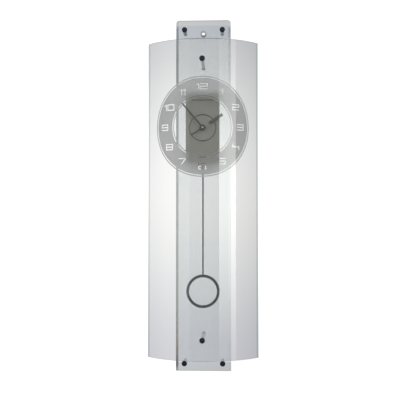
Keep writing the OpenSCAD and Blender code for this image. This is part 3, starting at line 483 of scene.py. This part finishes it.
def hour_hand_paint():
    """Lacquer that is black on the tail and dull black on the broad end; on the neck a painted reflection in
    the case's tone.
    """
    axis = middle("hub_pin")

    def from_axis(co):
        return math.hypot(co.x - axis.x, co.z - axis.z)

    tip = max((v.co for v in NODES["hour_hand"].data.vertices), key=from_axis)
    along = Vector((tip.x - axis.x, 0, tip.z - axis.z)).normalized()
    mat = solid("hour_hand_lacquer_and_reflection", BAR_BLACK, rough=0.5)
    tree = mat.node_tree
    coord = tree.nodes.new("ShaderNodeTexCoord")
    reach = tree.nodes.new("ShaderNodeVectorMath")
    reach.operation = "DOT_PRODUCT"
    reach.inputs[1].default_value = along
    link(tree, coord.outputs["Object"], reach.inputs[0])
    start = axis.dot(along)
    low = start - HAND_REACH
    high = start + HAND_REACH
    stops = [(low, TAIL_BLACK), (start + NECK_FROM, NECK_PAINTED_REFLECTION), (start + NECK_TO, BAR_BLACK)]
    paint = colour_ramp(tree, reach.outputs["Value"], low, high, stops, steps=True)
    link(tree, paint, tree.nodes["Principled BSDF"].inputs["Base Color"])
    return mat


dress(hour_hand_paint(), "hour_hand")

# Soft ring on the case's face
RING_HALF = 0.014
RING_PAINTED_SHADE = (0.055, 0.053, 0.02)


def ring_rubber_and_shade():
    """Soft olive ring: painted shade darkens it above and below the hands' axis, and painted light lifts it
    at the sides.
    """
    mat = solid("soft_ring", (0.07, 0.07, 0.04), rough=0.6)
    tree = mat.node_tree
    tone = colour_ramp(tree, along_axis(tree, "Object", "X"), -RING_HALF, RING_HALF, [
        (-0.0125, (0.17, 0.17, 0.12)),
        (-0.006, RING_PAINTED_SHADE),
        (0.006, RING_PAINTED_SHADE),
        (0.0125, (0.15, 0.15, 0.1)),
    ])
    link(tree, tone, tree.nodes["Principled BSDF"].inputs["Base Color"])
    return mat


dress(ring_rubber_and_shade(), "spacer_ring")

# Floors of the case's two slots, painted darker as shade in the recess
CASE_FRONT_Y = min(v.co.y for v in NODES["movement_front_case"].data.vertices)
SLOT_SHALLOW = 0.0001
SLOT_DEEP = 0.0008
SLOT_HALF = 0.018
SLOT_FROM_AXIS = 0.04
HANDS_Z = middle("hub_pin").z


def in_slot(centre, normal):
    """A face sunk a little below the case's front, and well above or below the hands' axis."""
    sunk = CASE_FRONT_Y + SLOT_SHALLOW < centre.y < CASE_FRONT_Y + SLOT_DEEP
    return sunk and abs(centre.x) < SLOT_HALF and abs(centre.z - HANDS_Z) > SLOT_FROM_AXIS


slot_painted_shade = solid("slot_painted_shade", (0.16, 0.16, 0.115), rough=0.7)
dress_faces("movement_front_case", slot_painted_shade, in_slot)

# Edges of the two sheets, darkened with painted shade
BEND_AXIS_Y = 0.053
FACING_LIMIT = 0.7


def on_front_edge(centre, normal):
    """A face that looks neither towards nor away from the axis that the front glass is bent round."""
    outward = Vector((centre.x, centre.y - BEND_AXIS_Y, 0)).normalized()
    return abs(normal.dot(outward)) < FACING_LIMIT


def on_plate_edge(centre, normal):
    """A face that looks neither forwards nor backwards."""
    return abs(normal.y) < FACING_LIMIT


front_edge = edge_glass("front_glass_edge", (0.67, 0.71, 0.71), scatter_share=0.27)
plate_edge = edge_glass("rear_plate_edge", (0.6, 0.64, 0.65), scatter_share=0.3)
dress_faces("front_glass", front_edge, on_front_edge)
dress_faces("rear_plate", plate_edge, on_plate_edge)

# Cards that the glass mirrors
CARD_RADIUS = 1.7
CARD_LOW_Z = -1.3
CARD_HIGH_Z = 1.0
CARD_CENTRE_Y = -0.03
CARD_STEP_DEG = 3
GLOW_HALF = 0.75


def emitter(name, colour, low, high, centre_z):
    """The glow of a card, high at one height and fading to low above and below it."""
    mat, tree, out = new_material(name)
    away = math_of(tree, "SUBTRACT", along_axis(tree, "Object", "Z"), centre_z)
    distance = math_of(tree, "ABSOLUTE", away)
    glow = tree.nodes.new("ShaderNodeEmission")
    glow.inputs["Color"].default_value = (*colour, 1)
    strength = rescaled(tree, distance, 0.0, GLOW_HALF, high, low, smooth=True)
    link(tree, strength, glow.inputs["Strength"])
    link(tree, glow.outputs["Emission"], out.inputs["Surface"])
    return mat


def card(name, from_deg, to_deg, colour, low, high, centre_z):
    """A tall strip bent round the object, between two angles counted from straight in front to the right.
    Only mirrors see it."""
    steps = max(2, int(abs(to_deg - from_deg) / CARD_STEP_DEG))
    verts = []
    faces = []
    for i in range(steps + 1):
        a = math.radians(from_deg + (to_deg - from_deg) * i / steps)
        x = CARD_RADIUS * math.sin(a)
        y = CARD_CENTRE_Y - CARD_RADIUS * math.cos(a)
        verts += [(x, y, CARD_LOW_Z), (x, y, CARD_HIGH_Z)]
        if i:
            k = 2 * i
            faces.append((k - 2, k, k + 1, k - 1))
    mesh = bpy.data.meshes.new(name)
    mesh.from_pydata(verts, [], faces)
    mesh.materials.append(emitter(name + "_glow", colour, low, high, centre_z))
    o = bpy.data.objects.new(name, mesh)
    bpy.context.scene.collection.objects.link(o)
    o.visible_camera = False
    o.visible_diffuse = False
    o.visible_shadow = False
    o.visible_transmission = False


card("card_left", -112, -22, (1, 1, 1), low=1.3, high=2.35, centre_z=-0.3)
card("card_front", -22, 25, (1, 1, 1), low=0.9, high=1.4, centre_z=-0.2)
card("card_band", 25, 53, (1, 1, 0.98), low=1.3, high=6.4, centre_z=-0.22)
card("card_right", 53, 112, (0.95, 0.94, 1), low=0.35, high=0.65, centre_z=-0.3)

# Floor
FLOOR_HALF = 0.9
FLOOR_FRONT_Y = -0.4
FLOOR_BACK_Y = 0.74
FLOOR_Z = -0.75
FLOOR_TONE = 0.4
FLOOR_GLOW = 0.8


def floor_paint():
    """Pale paint that takes the object's shadow and is lifted to near white for the camera alone."""
    mat, tree, out = new_material("floor_pale")
    paint = tree.nodes.new("ShaderNodeBsdfDiffuse")
    paint.inputs["Color"].default_value = (*grey(FLOOR_TONE), 1)
    glow = tree.nodes.new("ShaderNodeEmission")
    path = tree.nodes.new("ShaderNodeLightPath")
    seen = math_of(tree, "MULTIPLY", path.outputs["Is Camera Ray"], FLOOR_GLOW)
    link(tree, seen, glow.inputs["Strength"])
    both = tree.nodes.new("ShaderNodeAddShader")
    link(tree, paint.outputs["BSDF"], both.inputs[0])
    link(tree, glow.outputs["Emission"], both.inputs[1])
    link(tree, both.outputs["Shader"], out.inputs["Surface"])
    return mat


floor_corners = [
    (-FLOOR_HALF, FLOOR_FRONT_Y, FLOOR_Z),
    (FLOOR_HALF, FLOOR_FRONT_Y, FLOOR_Z),
    (FLOOR_HALF, FLOOR_BACK_Y, FLOOR_Z),
    (-FLOOR_HALF, FLOOR_BACK_Y, FLOOR_Z),
]
floor_mesh = bpy.data.meshes.new("floor")
floor_mesh.from_pydata(floor_corners, [], [(0, 1, 2, 3)])
floor_mesh.materials.append(floor_paint())
floor = bpy.data.objects.new("floor", floor_mesh)
bpy.context.scene.collection.objects.link(floor)

# Surround, with a soft brighter pool behind the clock and a little more light to the left.
# Its places are the z and x parts of a direction.
POOL_Z = 0.06
POOL_HALF = 0.26
POOL_GAIN = 1.45
LEFT_X = -0.085
RIGHT_X = 0.02
LEFT_GAIN = 1.14
PLAIN_GAIN = 1.0
SKY_COLOUR = (0.96, 0.98, 1)
SKY_STRENGTH = 0.45


def surround():
    """White for the camera and for what the glass mirrors and passes, soft and dimmer light for all else."""
    world = bpy.data.worlds.new("studio")
    world.use_nodes = True
    tree = world.node_tree
    tree.nodes.clear()
    out = tree.nodes.new("ShaderNodeOutputWorld")
    away = math_of(tree, "SUBTRACT", along_axis(tree, "Generated", "Z"), POOL_Z)
    distance = math_of(tree, "ABSOLUTE", away)
    pool = rescaled(tree, distance, 0.0, POOL_HALF, POOL_GAIN, PLAIN_GAIN, smooth=True)
    across = along_axis(tree, "Generated", "X")
    to_left = rescaled(tree, across, LEFT_X, RIGHT_X, LEFT_GAIN, PLAIN_GAIN)
    white = tree.nodes.new("ShaderNodeBackground")
    white.inputs["Color"].default_value = (1, 1, 1, 1)
    link(tree, math_of(tree, "MULTIPLY", pool, to_left), white.inputs["Strength"])
    sky = tree.nodes.new("ShaderNodeBackground")
    sky.inputs["Color"].default_value = (*SKY_COLOUR, 1)
    sky.inputs["Strength"].default_value = SKY_STRENGTH
    path = tree.nodes.new("ShaderNodeLightPath")
    passed = math_of(tree, "MAXIMUM", path.outputs["Is Camera Ray"], path.outputs["Is Transmission Ray"])
    seen = math_of(tree, "MAXIMUM", passed, path.outputs["Is Glossy Ray"])
    surface = mixed_shaders(tree, seen, sky.outputs["Background"], white.outputs["Background"])
    link(tree, surface, out.inputs["Surface"])
    return world


bpy.context.scene.world = surround()

# Lamps
LAMPS_AIM = Vector((0.0, -0.03, -0.28))


def lamp(name, place, size, power):
    """A soft square lamp aimed at the clock's middle, that neither mirrors nor glass show."""
    data = bpy.data.lights.new(name, "AREA")
    data.shape = "SQUARE"
    data.size = size
    data.energy = power
    o = bpy.data.objects.new(name, data)
    o.location = place
    o.rotation_mode = "QUATERNION"
    o.rotation_quaternion = (LAMPS_AIM - Vector(place)).to_track_quat("-Z", "Y")
    o.visible_glossy = False
    o.visible_transmission = False
    bpy.context.scene.collection.objects.link(o)


lamp("lamp_left", (-1.3, -1.4, 0.7), size=1.2, power=27)
lamp("lamp_right", (1.2, -1.6, 0.5), size=1.0, power=30)
lamp("lamp_back", (0.4, 1.6, 0.9), size=1.2, power=10)

# Camera at the photo's viewing angle, with its focal length in pixels of the 400 x 400 image
IMAGE_SIZE = 400
FOCAL_PIXELS = 721.1
SENSOR_MM = 36.0
CAMERA_AT = Vector((0.0391, -1.2370, -0.3269))
CAMERA_AIM = Vector((-0.0060, -0.0025, -0.2867))

camera_data = bpy.data.cameras.new("camera")
camera_data.sensor_width = SENSOR_MM
camera_data.lens = FOCAL_PIXELS / IMAGE_SIZE * SENSOR_MM
camera = bpy.data.objects.new("camera", camera_data)
bpy.context.scene.collection.objects.link(camera)
camera.location = CAMERA_AT
camera.rotation_mode = "QUATERNION"
camera.rotation_quaternion = (CAMERA_AIM - CAMERA_AT).to_track_quat("-Z", "Y")
bpy.context.scene.camera = camera

bpy.context.scene.view_settings.view_transform = "Standard"
